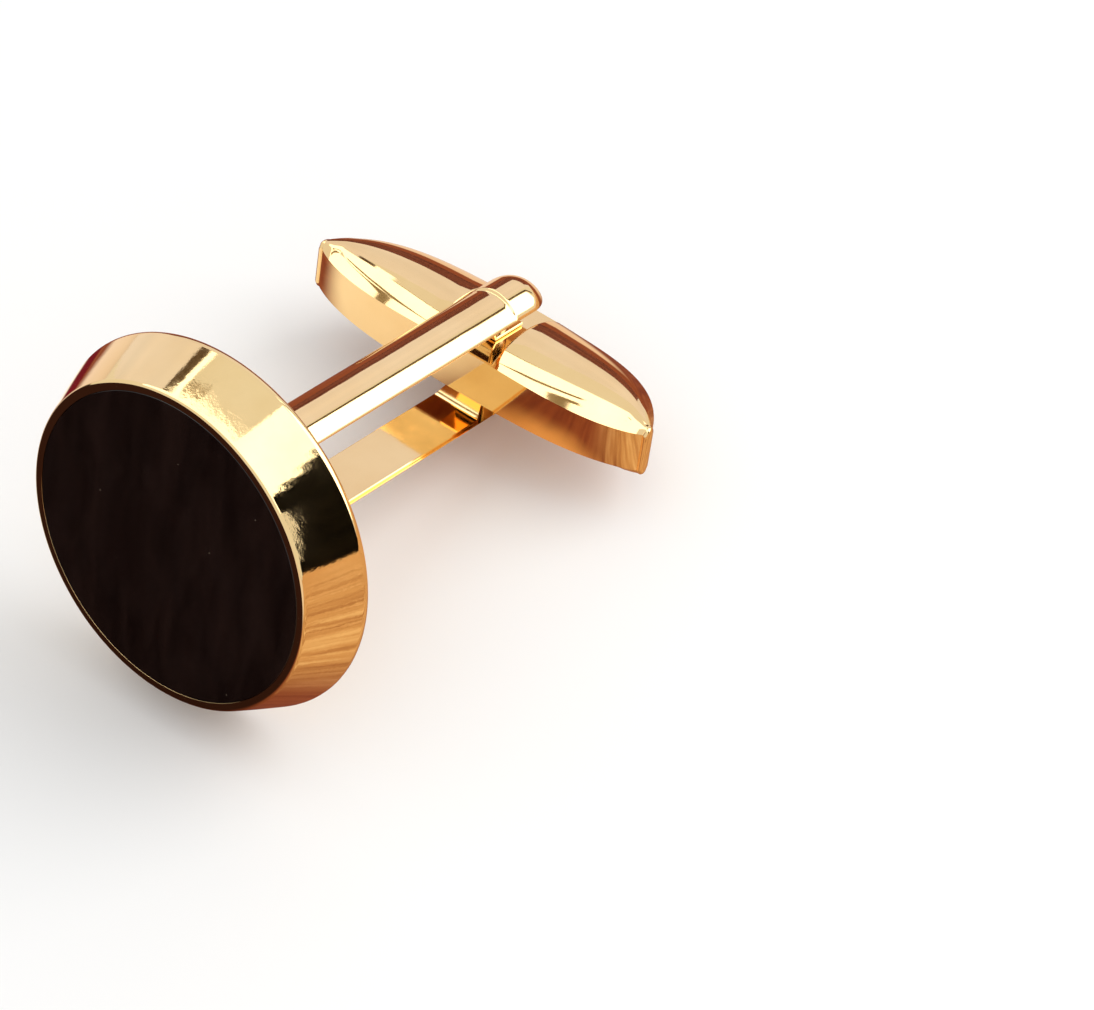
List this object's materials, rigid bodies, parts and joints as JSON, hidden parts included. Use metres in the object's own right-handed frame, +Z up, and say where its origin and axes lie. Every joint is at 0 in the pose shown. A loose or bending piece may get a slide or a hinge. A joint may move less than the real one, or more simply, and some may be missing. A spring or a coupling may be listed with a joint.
{
  "type": "cufflink",
  "caption": "Round cufflink with a black inlay in a flared polished yellow bezel, a forked post and a torpedo toggle that swivels to pass through a buttonhole.",
  "frame": {"origin": "under the middle of the overall box, on the table the cufflink lies on", "axes": "+X from the face towards the toggle, +Y along the toggle, +Z up; the post slopes down towards +X because the part rests on the bezel's rear edge and on the end of the lower arm"},
  "size_m": [0.0268, 0.02, 0.0176],
  "materials": {
    "polished_gold": "mirror polished, gold plated",
    "spring_metal": "polished, gold plated",
    "pin_metal": "drawn, lightly plated",
    "black_inlay": "polished",
    "adhesive": "cured film"
  },
  "bodies": {
    "link": {"bezel": "polished_gold", "inlay": "black_inlay", "inlay_adhesive": "adhesive", "back_plate": "polished_gold", "fork": "polished_gold", "foot_rivet": "pin_metal", "detent_spring": "spring_metal", "hinge_pin": "pin_metal"},
    "toggle": {"toggle": "polished_gold"}
  },
  "joints": [
    {"name": "toggle_swivel", "type": "hinge", "parent": "link", "child": "toggle", "pos_m": [0.0104, 0, 0.00368], "axis": [0.2641, 0, 0.9645], "continuous": true}
  ]
}
